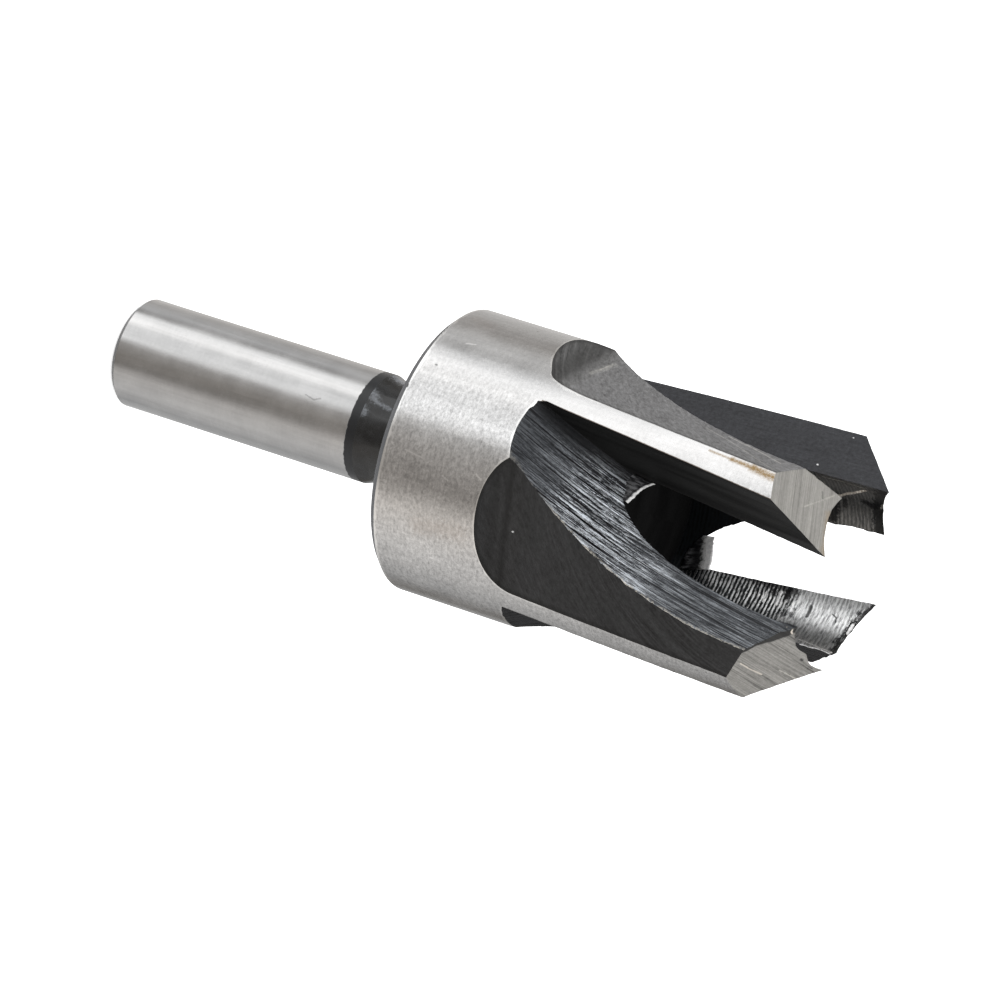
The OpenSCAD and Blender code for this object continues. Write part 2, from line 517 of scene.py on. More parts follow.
# painted light and shade: how the tone changes across a surface, as pairs of place and factor: round the
# run-out of a flat in degrees; over a gullet's floor in mm, from its wall, along the mill's arc and beside
# the bore; up a rake and up the bore in mm; and round the bore in degrees. Surfaces are painted darker
# where shade falls, at a gullet's wall, beside and deep in the bore, and lighter or darker as their curve
# turns to the light
paintedShading = {
    "flatEnd": [[(0, 1.3), (10, 1.0), (18, 0.42), (27, 0.40), (36, 0.60), (48, 0.62)],
                [(0, 1.1), (9, 1.1), (14, 0.55), (20, 1.0), (27, 0.6), (36, 0.75), (48, 0.5)]],
    "floor": [(0, 0.22), (0.6, 0.36), (1.6, 0.86), (3, 0.98), (4.3, 0.90), (5.8, 1.05), (7.5, 0.84),
              (8.5, 0.9)],
    "floorLong": [(-29, 0.36), (-27, 0.66), (-25, 1.0), (-23, 1.3), (-19, 1.42), (-16, 1.35), (-13, 0.92),
                  (-8.5, 0.85), (-4.5, 0.72)],
    "floorLip": [(3.6, 0.5), (4.6, 0.72), (5.6, 1.0)],
    "rake": [(44, 1.0), (56, 1.2), (62, 2.0), (71.5, 3.2)],
    "bore": [(51, 0.0), (54, 0.03), (56, 0.5), (58, 0.9), (62, 1.05), (64.2, 1.1), (65.4, 1.0), (71.5, 1.0)],
    "boreRound": [(150, 0.75), (160, 0.7), (167, 0.62), (173, 0.56), (177, 0.80), (181, 1.0), (188, 1.04)],
}
finishes = {"shank": "groundSteel", "shankEnd": "blackSteel", "neck": "scuffedBlack", "back": "blackSteel",
            "backRing": "blackSteel", "land": "groundSteel", "bore": "boredSteel",
            "boreEnd": "deepBlack", "rake": "milledFlat", "rake0": "deepBlack", "floor": "milledFloor",
            "flat": "milledFlat", "flatEnd": "milledFlat", "tip": "groundTip"}
finishNames = sorted(set(finishes.values()))


def between(stops, x):
    # straight lines between the stops
    for (low, a), (high, b) in zip(stops, stops[1:]):
        if x <= high:
            part = max(0.0, (x - low) / (high - low))
            return a + (b - a) * part
    return stops[-1][1]


def boreSector(p):
    # the claw whose inner wall a place in the bore belongs to
    return int((math.degrees(math.atan2(p.y, p.x)) % 360 + 53) // 90) % 4


def toneAndShadeOf(name, k, p, place):
    if name == "bore":
        k = boreSector(p)
    shade = tonesAndShades[name][min(k, len(tonesAndShades[name]) - 1)]
    level = 1.0
    if name == "bore":
        level = between(paintedShading["bore"], p.z)
        around = math.degrees(math.atan2(p.y, p.x)) % 360
        if k == 2:
            level *= between(paintedShading["boreRound"], around)
        if p.z < 57.5 and around > 194:
            # painted shade deep in the bore, on the side that faces away
            level *= 0.02
    elif name == "rake" and k == 0:
        level = between(paintedShading["rake"], p.z)
    elif name == "floor" and k != 1:
        along, fromWall = place[0], place[1] - 20 * k
        level = between(paintedShading["floor"], fromWall) * between(paintedShading["floorLong"], along)
        if along > -17:
            level *= between(paintedShading["floorLip"], fromWall)
    elif name == "flatEnd":
        out = flatEndPlace(claws[k], inClaw(k, p))[1]
        around = math.degrees(math.acos(max(-1.0, min(1.0, -out.dot(claws[k]["flatNormal"])))))
        level = between(paintedShading["flatEnd"][0 if k == 0 else 1], around)
    return [part * level for part in shade]


def gulletGap(claw, q):
    # how far a place in a claw's frame lies outside of the mill's round
    reach, height = millPlace(claw, q)[:2]
    return reach - millRim(claw, height)


def cutDepth(k, q):
    # how far a place in a claw's frame lies outside of what its flat and gullet took away
    claw = claws[k]
    away = q - claw["flatFoot"]
    if away.dot(claw["flatAlong"]) > -cutter["flatLen"]:
        flat = -away.dot(claw["flatNormal"])
    else:
        flat = flatEndPlace(claw, q)[0] - cutter["flatMillR"]
    return min(flat, max(gulletGap(claw, q), -millPlace(claw, q)[1] * 9))


def rimOf(name, k, p):
    # how far a place lies from the worn edge of its surface, in mm
    if name in ("flat", "flatEnd"):
        return cutter["headR"] - math.hypot(p.x, p.y)
    if name == "land" and p.z > 40:
        return min(cutDepth(k, inClaw(k, p)) for k in range(4))
    if name == "floor":
        # the flat beside a gullet's floor belongs to the claw after it
        return depthUnder(k + 1, p, "flat")
    if name == "tip":
        # the gullet beside an end face belongs to the claw before it
        return gulletGap(claws[k - 1], inClaw(k - 1, p))
    if name == "bore":
        return depthUnder(boreSector(p), p, "end")
    return 9.0


def nickEdges(bm, regionLayer):
    # torn and worn edges: how far a point of the edge may stray, by the two surfaces that meet there
    strays = {frozenset(("floor", "flat")): 0.05, frozenset(("floor", "bore")): 0.07,
              frozenset(("rake", "bore")): 0.03, frozenset(("tip", "bore")): 0.06,
              frozenset(("tip", "floor")): 0.06, frozenset(("land", "flat")): 0.015,
              frozenset(("land", "floor")): 0.05, frozenset(("land", "rake")): 0.015,
              frozenset(("tip", "flat")): 0.03, frozenset(("tip", "rake")): 0.03}
    noise.seed_set(cutter["nickSeed"])
    for vert in bm.verts:
        codes = [face[regionLayer] for face in vert.link_faces]
        here = frozenset(regions[code // 4] for code in codes)
        if len(here) != 2 or here not in strays:
            continue
        k = max(code % 4 for code in codes)
        stray = strays[here] * cutter["raggedness"][k]
        p = vert.co / mm
        push = noise.noise_vector(p * 1.7) * 0.7 + noise.noise_vector(p * 5.3 + Vector((9, 4, 2))) * 0.6
        vert.co += push * stray * mm


def reshape(bm):
    # what differs from claw to claw: a claw left longer, and places drawn out
    for vert in bm.verts:
        p = vert.co / mm
        k = boreSector(p)
        if p.z > cutter["tipZ"] - 12 and cutter["leftLonger"][k]:
            depth = depthUnder(k, p, "end")
            if depth < 3:
                vert.co.z += cutter["leftLonger"][k] * (1 - max(depth, 0) / 3) * mm
        for centre, reach, shift in cutter["drawn"]:
            gap = (p - Vector(centre)).length
            if gap < reach:
                vert.co += Vector(shift) * (1 - gap / reach) * mm


def spread(low, high, step):
    count = int((high - low) / step)
    return [low + (high - low) * i / count for i in range(count + 1)]


def makeCutter():
    c = cutter
    bm = bmesh.new()
    bm.from_mesh(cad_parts["plug_cutter"].data)
    bmesh.ops.remove_doubles(bm, verts=bm.verts, dist=1e-6)
    cuts = [((0, 0, z), (0, 0, 1)) for z in spread(c["headZ"] + 0.6, c["tipZ"] - 0.1, c["sliceStep"])]
    cuts += [((0, 0, c["brightEnd"]), (0, 0, 1))]
    for step in spread(-c["headR"] + 0.4, c["headR"] - 0.3, 2 * c["sliceStep"]):
        cuts += [((step, 0, 0), (1, 0, 0)), ((0, step, 0), (0, 1, 0))]
    for place, way in cuts:
        everything = bm.verts[:] + bm.edges[:] + bm.faces[:]
        bmesh.ops.bisect_plane(bm, geom=everything, plane_co=Vector(place) * mm, plane_no=way, dist=1e-7)
    regionLayer = bm.faces.layers.int.new("region")
    for face in bm.faces:
        name, k = regionOf(face.calc_center_median() / mm, face.normal)
        face[regionLayer] = regions.index(name) * 4 + k
        face.material_index = finishNames.index(finishes.get(f"{name}{k}", finishes[name]))
        face.smooth = True
    for edge in bm.edges:
        codes = {face[regionLayer] for face in edge.link_faces}
        edge.smooth = len(codes) == 1 and edge.calc_face_angle(0) < math.radians(25)
    reshape(bm)
    nickEdges(bm, regionLayer)

    mesh = bpy.data.meshes.new("cutterSteel")
    bm.to_mesh(mesh)
    bm.free()
    codes = [value.value for value in mesh.attributes["region"].data]
    plain = [n.vector.copy() for n in mesh.corner_normals]
    count = len(mesh.loops)
    places, shades, normals = [(0, 0)] * count, [(0, 0, 0, 1)] * count, [None] * count
    rims = [0.0] * count
    for polygon in mesh.polygons:
        code = codes[polygon.index]
        name, k = regions[code // 4], code % 4
        centre = polygon.center
        centreAngle = math.atan2(centre.y, centre.x) - math.radians(camera["azimuth"])
        centreAngle = (centreAngle + math.pi) % math.tau - math.pi
        for i in polygon.loop_indices:
            p = mesh.vertices[mesh.loops[i].vertex_index].co / mm
            places[i] = markPlace(name, k, p, centreAngle)
            shades[i] = (*toneAndShadeOf(name, k, p, places[i]), 1)
            rims[i] = rimOf(name, k, p)
            normals[i] = trueNormal(name, k, p, plain[i])
    mesh.normals_split_custom_set(normals)
    mesh.uv_layers.new(name="marks")
    mesh.uv_layers["marks"].data.foreach_set("uv", [value for place in places for value in place])
    # the tone attribute carries each surface's colour together with its painted light and shade
    mesh.color_attributes.new("tone", "FLOAT_COLOR", "CORNER")
    mesh.color_attributes["tone"].data.foreach_set("color", [value for shade in shades for value in shade])
    mesh.attributes.new("rim", "FLOAT", "CORNER")
    mesh.attributes["rim"].data.foreach_set("value", rims)
    print("cutter:", len(mesh.polygons), "faces")
    return addObject("cutterSteel", mesh)


# effects that several finishes share
def makeStreakGroup():
    # long tool marks along the first UV axis: broad tone, fine lines, dark grooves and bright dashes
    tree, given, end = newGroup("toolStreaks", [("Vector", "Vector", None), ("Seed", "Float", 0.0)],
                                [("Broad", "Float"), ("Lines", "Float"), ("Grooves", "Float"),
                                 ("Dashes", "Float")])
    shifted = addNode(tree, "CombineXYZ", None, Z=given["Seed"])
    place = addNode(tree, "VectorMath", {"operation": "ADD"}, i0=given["Vector"], i1=shifted)
    broad = markNoise(tree, place, 0.05, 0.9, 3, 0.6, 0.2)
    lines = markNoise(tree, place, 0.16, 5.5, 4, 0.75, 0.1, shift=(3, 1, 0))
    groove = markNoise(tree, place, 0.07, 3.6, 2, 0.55, 0.2, shift=(7, 5, 0))
    dash = markNoise(tree, place, 0.9, 7.0, 4, 0.78, shift=(1, 8, 0))
    plug(tree, end, "Broad", remap(tree, broad, 0.32, 0.68))
    plug(tree, end, "Lines", remap(tree, lines, 0.38, 0.62))
    plug(tree, end, "Grooves", remap(tree, groove, 0.42, 0.36))
    plug(tree, end, "Dashes", remap(tree, dash, 0.53, 0.66))
    return tree


def makeGrainGroup():
    # the speckle that grinding leaves, and rare pale specks
    tree, given, end = newGroup("groundGrain", [("Vector", "Vector", None)],
                                [("Grain", "Float"), ("Cloud", "Float"), ("Specks", "Float")])
    place = given["Vector"]
    grain = markNoise(tree, place, 2.3, 3.0, 5, 0.85)
    cloud = noiseOf(tree, place, 0.35, 3, 0.55)
    speck = noiseOf(tree, place, 2.2, 1, 0.5)
    plug(tree, end, "Grain", grain)
    plug(tree, end, "Cloud", cloud)
    plug(tree, end, "Specks", remap(tree, speck, 0.74, 0.80))
    return tree


def makeFlawGroup():
    # a mark between two places, wavering by the wobble
    tree, given, end = newGroup(
        "flawMask", [("Place", "Vector", None), ("Start", "Vector", None), ("End", "Vector", None),
                     ("Width", "Float", 0.1), ("Wobble", "Float", 0.0), ("Core", "Float", 0.3)],
        [("Mask", "Float")])
    away, way = [addNode(tree, "VectorMath", {"operation": "SUBTRACT"}, i0=given[label],
                         i1=given["Start"]) for label in ("Place", "End")]
    along = addNode(tree, "VectorMath", {"operation": "DOT_PRODUCT"}, i0=away, i1=way).outputs["Value"]
    length = addNode(tree, "VectorMath", {"operation": "DOT_PRODUCT"}, i0=way, i1=way).outputs["Value"]
    part = maths(tree, "DIVIDE", along, maths(tree, "MAXIMUM", length, 0.000001), clamp=True)
    nearest = addNode(tree, "VectorMath", {"operation": "SCALE"}, i0=way, Scale=part)
    gap = addNode(tree, "VectorMath", {"operation": "DISTANCE"}, i0=away, i1=nearest).outputs["Value"]
    waver = times(tree, given["Wobble"], given["Width"])
    gap = plus(tree, gap, waver)
    soft = times(tree, given["Width"], given["Core"])
    mask = addNode(tree, "MapRange", {"interpolation_type": "SMOOTHSTEP"}, i0=gap, i1=given["Width"],
                   i2=soft, i3=0.0, i4=1.0)
    plug(tree, end, "Mask", mask)
    return tree


toolStreaks = makeStreakGroup()
groundGrain = makeGrainGroup()
flawMask = makeFlawGroup()

# marks of use and making, and some painted highlights and shade, in mm: kind, half width, strength and the
# places that they run through
flawTones = {"gold": (0.25, 0.17, 0.08, 1), "rust": (0.40, 0.31, 0.24, 1), "umber": (0.10, 0.06, 0.03, 1),
             "bright": grey(0.95), "cream": (0.88, 0.80, 0.70, 1), "pale": (0.50, 0.48, 0.44, 1),
             "scuff": (0.60, 0.58, 0.53, 1), "haze": (0.27, 0.29, 0.32, 1), "dark": grey(0.03),
             "soot": (0.015, 0.015, 0.016, 1), "black": (0.004, 0.004, 0.005, 1)}
# these fade out softly and are flecked through, and those keep to their line
stains = ("gold", "rust", "haze", "scuff")
firm = ("cream", "umber", "soot", "gold")
flaws = {
    "groundSteel": [
        ("gold", 0.20, 0.75, [(12.83, 0.30, 59.9), (12.83, 0.48, 62.1)]),
        ("gold", 0.40, 0.95, [(12.83, 0.48, 62.1), (12.82, 0.66, 64.2)]),
        ("gold", 0.68, 1.0, [(12.82, 0.66, 64.2), (12.80, 0.98, 66.3)]),
        ("umber", 0.11, 0.8, [(12.84, 0.51, 44), (12.74, 1.72, 55.5), (12.51, 2.93, 67)]),
        ("rust", 1.4, 0.22, [(5.37, 11.67, 36.4), (5.69, 11.52, 38.35), (5.82, 11.45, 40.3)]),
        ("rust", 1.2, 0.15, [(10.81, -6.93, 33.3), (11.19, -6.32, 34.8)]),
        ("bright", 0.14, 0.8, [(12.50, -2.95, 34.68), (12.45, -3.16, 35.44)]),
        ("bright", 0.10, 0.5, [(10.21, 7.79, 34.04), (10.07, 7.98, 35.69)]),
        ("bright", 0.16, 0.6, [(10.35, 7.61, 32.68), (10.34, 7.62, 32.72)]),
        ("bright", 0.10, 0.6, [(9.47, 8.67, 38.01), (9.28, 8.88, 38.58)]),
        ("bright", 0.13, 0.8, [(10.11, 7.93, 41.05), (9.92, 8.16, 41.53)]),
        ("bright", 0.14, 0.4, [(2.58, 12.59, 37.64), (2.54, 12.60, 38.43)]),
        ("dark", 0.13, 0.6, [(12.84, 0.27, 33.52), (12.84, 0.28, 33.54)]),
        ("dark", 0.13, 0.5, [(10.03, -8.02, 38.56), (10.03, -8.02, 38.60)]),
        ("dark", 0.10, 0.28, [(4.61, 1.94, 19.6), (4.52, 2.13, 20.5), (4.63, 1.88, 21.1)]),
    ],
    "groundTip": [
        ("soot", 0.20, 0.75, [(-1.79, 7.99, 70.39), (-1.95, 7.93, 70.45)]),
        ("cream", 0.12, 0.8, [(2.35, 7.7, 70.0), (1.9, 7.95, 69.9), (1.1, 8.0, 70.1)]),
        ("dark", 0.10, 0.3, [(1.9, 8.6, 69.0), (2.3, 9.2, 68.3), (2.2, 9.8, 67.8)]),
        ("dark", 0.07, 0.35, [(-0.2, 8.6, 69.6), (-1.2, 8.5, 69.9), (-2.0, 8.4, 70.2)]),
        ("dark", 0.09, 0.6, [(-1.79, 7.96, 70.39), (-2.6, 7.85, 70.7), (-3.3, 7.55, 71.0)]),
        ("cream", 0.10, 0.5, [(0.52, 11.65, 66.76), (-0.5, 11.22, 67.25), (-1.67, 10.68, 67.97)]),
        ("scuff", 0.12, 0.55, [(-2.04, 9.52, 69.05), (-3.68, 8.77, 69.99)]),
        ("dark", 0.12, 0.4, [(-0.3, 11.2, 67.2), (-0.5, 11.1, 67.3)]),
        ("scuff", 0.11, 0.38, [(10.03, 0.93, 68.72), (9.2, -0.6, 69.3), (8.24, -2.21, 69.78)]),
        ("gold", 0.75, 0.45, [(8.15, -0.2, 70.3), (7.6, 2.6, 71.2), (7.45, 3.3, 71.45)]),
        ("dark", 0.12, 0.45, [(9.2, -1.6, 69.1), (9.0, -1.1, 69.3)]),
    ],
    "boredSteel": [
        # the far claw's wall: a torn line, the pale edge above it, a burr, and black patches of painted
        # shade by them
        ("black", 0.30, 0.7, [(-0.6, -8.0, 66.9), (-1.4, -7.9, 66.9)]),
        ("cream", 0.20, 1.0, [(-0.45, -8.03, 66.2), (0.11, -8.04, 66.96), (0.40, -8.04, 67.28),
                              (0.98, -8.00, 68.13), (1.99, -7.82, 69.28)]),
        ("black", 0.75, 0.85, [(-1.2, -7.95, 65.9), (-2.2, -7.7, 65.9), (-3.0, -7.45, 65.7)]),
        ("pale", 0.11, 0.9, [(2.30, -7.70, 65.3), (2.50, -7.66, 67.2), (2.42, -7.70, 69.3)]),
        ("black", 0.50, 0.9, [(-0.05, -8.06, 68.9), (-0.35, -8.06, 69.6), (0.3, -8.05, 70.2)]),
        ("pale", 0.16, 0.6, [(0.2, -8.05, 70.6), (-0.3, -8.05, 70.4)]),
        # the near one: a blotch, dark patches by its long edge, chips at its end
        ("soot", 0.25, 0.85, [(-7.91, -1.25, 66.06), (-7.98, -0.75, 66.12), (-8.03, -0.25, 66.14)]),
        ("black", 0.65, 0.85, [(-7.62, -2.15, 57.4), (-7.68, -2.1, 61.8), (-7.70, -2.1, 64.2)]),
        ("black", 0.34, 0.95, [(-7.85, -1.6, 62.4), (-7.88, -1.3, 62.5)]),
        ("bright", 0.16, 0.7, [(-7.88, -1.3, 61.8), (-7.96, -0.3, 61.9)]),
        ("black", 0.42, 0.95, [(-7.78, -1.95, 63.6), (-7.86, -1.4, 63.7)]),
        ("bright", 0.22, 0.7, [(-7.84, -1.6, 63.0), (-7.96, -0.4, 63.1)]),
        ("bright", 0.22, 0.9, [(-8.03, -0.8, 70.26), (-8.08, 0.1, 70.2)]),
        ("soot", 0.09, 1.0, [(-8.07, 0.44, 70.27), (-8.08, 0.17, 70.0), (-8.02, -0.95, 70.02),
                             (-7.98, -1.27, 70.41), (-8.06, -0.65, 70.5), (-8.07, 0.3, 70.45)]),
        ("soot", 0.09, 0.85, [(-7.96, -1.2, 68.15), (-8.0, -1.0, 68.6), (-8.05, -0.56, 68.74)]),
        ("soot", 0.05, 0.5, [(-7.9, -1.9, 69.3), (-8.0, -1.1, 69.9)]),
        ("bright", 0.12, 0.95, [(-7.70, 2.50, 66.8), (-7.66, 2.62, 68.4), (-7.60, 2.76, 70.0)]),
    ],
    "milledFlat": [
        ("bright", 0.12, 0.5, [(5.91, 9.61, 44.7), (5.92, 9.6, 44.75)]),
        ("bright", 0.10, 0.7, [(3.05, -11.96, 66.27), (3.05, -11.95, 66.3)]),
        ("scuff", 0.10, 0.45, [(10.75, -3.03, 59.72), (11.01, -2.45, 62.41), (11.53, -1.47, 65.5)]),
        ("scuff", 0.08, 0.30, [(10.76, -3.2, 57.45), (11.26, -2.26, 60.36), (12.63, 0.08, 65.65)]),
        ("dark", 0.07, 0.35, [(11.52, -2.03, 58.81), (12.35, -0.53, 62.78)]),
        ("bright", 0.10, 0.7, [(2.87, -8.31, 64.58), (2.87, -8.3, 64.62)]),
        ("scuff", 0.40, 0.22, [(7.4, -9.0, 45.3), (8.8, -6.9, 45.1), (9.6, -5.6, 44.9)]),
        ("scuff", 0.08, 0.40, [(7.4, -9.0, 45.2), (8.8, -6.9, 45.0), (9.6, -5.6, 44.7)]),
        ("scuff", 0.07, 0.30, [(7.4, -9.0, 45.7), (8.8, -6.9, 45.4)]),
    ],
    "milledFloor": [
        # the second gullet's edge against the bore
        ("bright", 0.13, 0.8, [(-7.68, 2.90, 67.1), (-7.63, 2.81, 68.6), (-7.81, 2.74, 69.6)]),
        ("bright", 0.22, 0.8, [(-7.80, 2.74, 69.55), (-7.81, 2.74, 69.7)]),
        ("cream", 0.10, 0.6, [(2.6, 7.9, 68.9), (2.35, 7.9, 69.5)]),
    ],
    "scuffedBlack": [
        ("haze", 0.75, 0.65, [(4.95, -0.4, 24.9), (4.87, 0.2, 25.7)]),
        ("haze", 0.60, 0.65, [(4.90, 1.0, 24.8), (4.55, 1.8, 25.4)]),
        ("haze", 0.30, 0.6, [(4.70, 0.44, 26.1), (4.52, 0.53, 26.6), (4.5, 0.65, 27.4)]),
        # painted highlight: the soft sheen at the neck's far side
        ("haze", 1.1, 0.85, [(3.56, -3.31, 25.9), (3.4, -3.4, 26.8)]),
        ("black", 0.4, 0.9, [(5.0, -0.2, 24.4), (4.9, 0.9, 24.45)]),
        ("black", 0.25, 0.8, [(4.9, 0.7, 25.2), (4.8, 0.9, 25.3)]),
    ],
}


def startMaterial(name):
    material, tree = blankMaterial(name)
    marks = addNode(tree, "UVMap", {"uv_map": "marks"}).outputs["UV"]
    tone = addNode(tree, "Attribute", {"attribute_name": "tone"}).outputs["Color"]
    return material, tree, marks, tone


def placeInMm(tree):
    return addNode(tree, "VectorMath", {"operation": "SCALE"}, i0=objectPlace(tree), Scale=1 / mm)


def rimPlace(tree):
    return addNode(tree, "Attribute", {"attribute_name": "rim"}).outputs["Fac"]


def withFlaws(tree, name, colour):
    place = placeInMm(tree)
    wobble = swing(tree, noiseOf(tree, place, 4.0, 4, 0.75), 2.6)
    steady = times(tree, wobble, 0.35)
    flecks = remap(tree, noiseOf(tree, place, 6.0, 4, 0.75), 0.36, 0.54, 0.6, 1.0)
    for kind, width, strength, places in flaws[name]:
        core = 0.0 if kind in stains else 0.35
        whole = None
        for a, b in zip(places, places[1:]):
            one = useGroup(tree, flawMask, Place=place, Start=a, End=b, Width=width, Core=core,
                           Wobble=steady if kind in firm else wobble)["Mask"]
            whole = one if whole is None else maths(tree, "MAXIMUM", whole, one)
        whole = times(tree, whole, strength)
        if kind in stains:
            whole = times(tree, whole, flecks)
        colour = mixColour(tree, whole, colour, flawTones[kind])
    return colour


def finishMaterial(material, colour, roughness, metallic, height, depth, strength, edgeRadius, **fixed):
    # the height makes a relief of that depth in metres, and sharp edges catch the light as if rounded
    tree = material.node_tree
    bump = addNode(tree, "Bump", None, Height=height, Distance=depth, Strength=strength)
    if edgeRadius:
        plug(tree, bump, "Normal", addNode(tree, "Bevel", {"samples": 6}, Radius=edgeRadius))
    shader = addNode(tree, "BsdfPrincipled", None, BaseColor=colour, Roughness=roughness, Metallic=metallic,
                     Normal=bump, **fixed)
    addNode(tree, "OutputMaterial", None, Surface=shader)
    return material


def groundSteel():
    material, tree, marks, tone = startMaterial("groundSteel")
    grains = useGroup(tree, groundGrain, Vector=marks)
    grain, cloud = grains["Grain"], grains["Cloud"]
    height = coordinate(tree, marks, "Y")
    around = coordinate(tree, marks, "X")
    brushed = markNoise(tree, marks, 0.7, 5.0, 3, 0.6)
    brushed = swing(tree, brushed, remap(tree, height, 28, 30, 0.5, 0.2))
    centred = plus(tree, minus(tree, grain, 0.5), brushed)
    # the head is ground more coarsely than the shank, least so on the side of the first claw
    coarse = remap(tree, height, 28, 30, 0.14, 1.9)
    coarse = times(tree, coarse, remap(tree, around, -8.6, -4.2, 0.36, 1.15))
    # painted highlight on that claw's land: its grain is weakened and its colour made lighter there
    paintedHighlight = times(tree, remap(tree, height, 42, 47), remap(tree, around, -4.2, -5.0))
    coarse = times(tree, coarse, mixValue(tree, paintedHighlight, 1.0, 0.4))
    shade = maths(tree, "MULTIPLY_ADD", centred, coarse, 1.0)
    shade = plus(tree, shade, remap(tree, cloud, 0.3, 0.7, -0.055, 0.055))
    lengthwise = markNoise(tree, marks, 1.4, 0.05, 3, 0.6)
    shade = plus(tree, shade, remap(tree, lengthwise, 0.3, 0.7, -0.05, 0.05))
    shade = times(tree, shade, mixValue(tree, paintedHighlight, 1.0, 1.09))
    colour = mixColour(tree, 1.0, tone, shade, "MULTIPLY")
    # worn along the back of the head, with a painted highlight that makes that edge near white, and chipped
    # dark here and there
    nick = markNoise(tree, marks, 0.8, 1.6, 4, 0.75)
    back = plus(tree, height, remap(tree, nick, 0.35, 0.65, -0.10, 0.10))
    worn = times(tree, remap(tree, back, 32.30, 32.16), remap(tree, height, 31.9, 32.0))
    colour = mixColour(tree, times(tree, worn, 0.8), colour, (0.97, 0.97, 0.96, 1))
    # and a thin worn edge along the ends of the flats and gullets, painted near white as an edge highlight
    thin = plus(tree, rimPlace(tree), remap(tree, nick, 0.35, 0.65, -0.05, 0.05))
    ends = times(tree, remap(tree, thin, 0.11, 0.05), remap(tree, height, 50, 47))
    colour = mixColour(tree, times(tree, ends, 0.7), colour, (0.97, 0.97, 0.96, 1))
    chips = times(tree, worn, remap(tree, nick, 0.60, 0.66))
    colour = mixColour(tree, chips, colour, grey(0.03))
    colour = withFlaws(tree, "groundSteel", colour)
    # blackened where the neck begins
    ragged = noiseOf(tree, marks, 2.0, 2)
    border = plus(tree, height, remap(tree, ragged, 0, 1, -0.08, 0.08))
    low = remap(tree, border, cutter["brightEnd"] - 0.04, cutter["brightEnd"] + 0.04)
    high = remap(tree, border, 26.0, 26.01, 1.0, 0.0)
    black = times(tree, low, high)
    colour = mixColour(tree, black, colour, (0.014, 0.015, 0.017, 1))
    rough = mixValue(tree, black, remap(tree, cloud, 0.3, 0.7, 0.2, 0.27), 0.3)
    metal = minus(tree, 1.0, times(tree, black, 0.9))
    return finishMaterial(material, colour, rough, metal, grain, 0.000012, 0.5, 0.00012)


def blackSteel():
    material, tree, marks, tone = startMaterial("blackSteel")
    streaks = useGroup(tree, toolStreaks, Vector=marks, Seed=3.0)
    shade = mixValue(tree, streaks["Broad"], 0.8, 1.25)
    colour = mixColour(tree, 1.0, tone, shade, "MULTIPLY")
    return finishMaterial(material, colour, 0.42, 0.1, streaks["Lines"], 0.00001, 0.5, 0.00012)


def scuffedBlack():
    # the neck: glossy black with turning marks
    material, tree, marks, tone = startMaterial("scuffedBlack")
    turning = markNoise(tree, marks, 0.25, 3.5, 3, 0.6)
    smear = noiseOf(tree, marks, 1.1, 3, 0.6)
    shade = remap(tree, smear, 0.35, 0.75, 0.7, 1.8)
    colour = mixColour(tree, 1.0, tone, shade, "MULTIPLY")
    colour = withFlaws(tree, "scuffedBlack", colour)
    rough = remap(tree, smear, 0.3, 0.7, 0.18, 0.32)
    return finishMaterial(material, colour, rough, 0.2, turning, 0.00004, 0.6, 0.00012,
                          SpecularIORLevel=0.55, CoatWeight=0.35, CoatRoughness=0.15)


def deepBlack():
    # painted shade: near black colour for the first claw's rake and the bore's end, which lie in shade
    material, tree, marks, tone = startMaterial("deepBlack")
    streaks = useGroup(tree, toolStreaks, Vector=marks, Seed=5.0)
    shade = mixValue(tree, streaks["Broad"], 0.7, 1.5)
    colour = mixColour(tree, 1.0, tone, shade, "MULTIPLY")
    return finishMaterial(material, colour, 0.5, 0.0, streaks["Lines"], 0.00001, 0.5, 0.0001,
                          SpecularIORLevel=0.04)


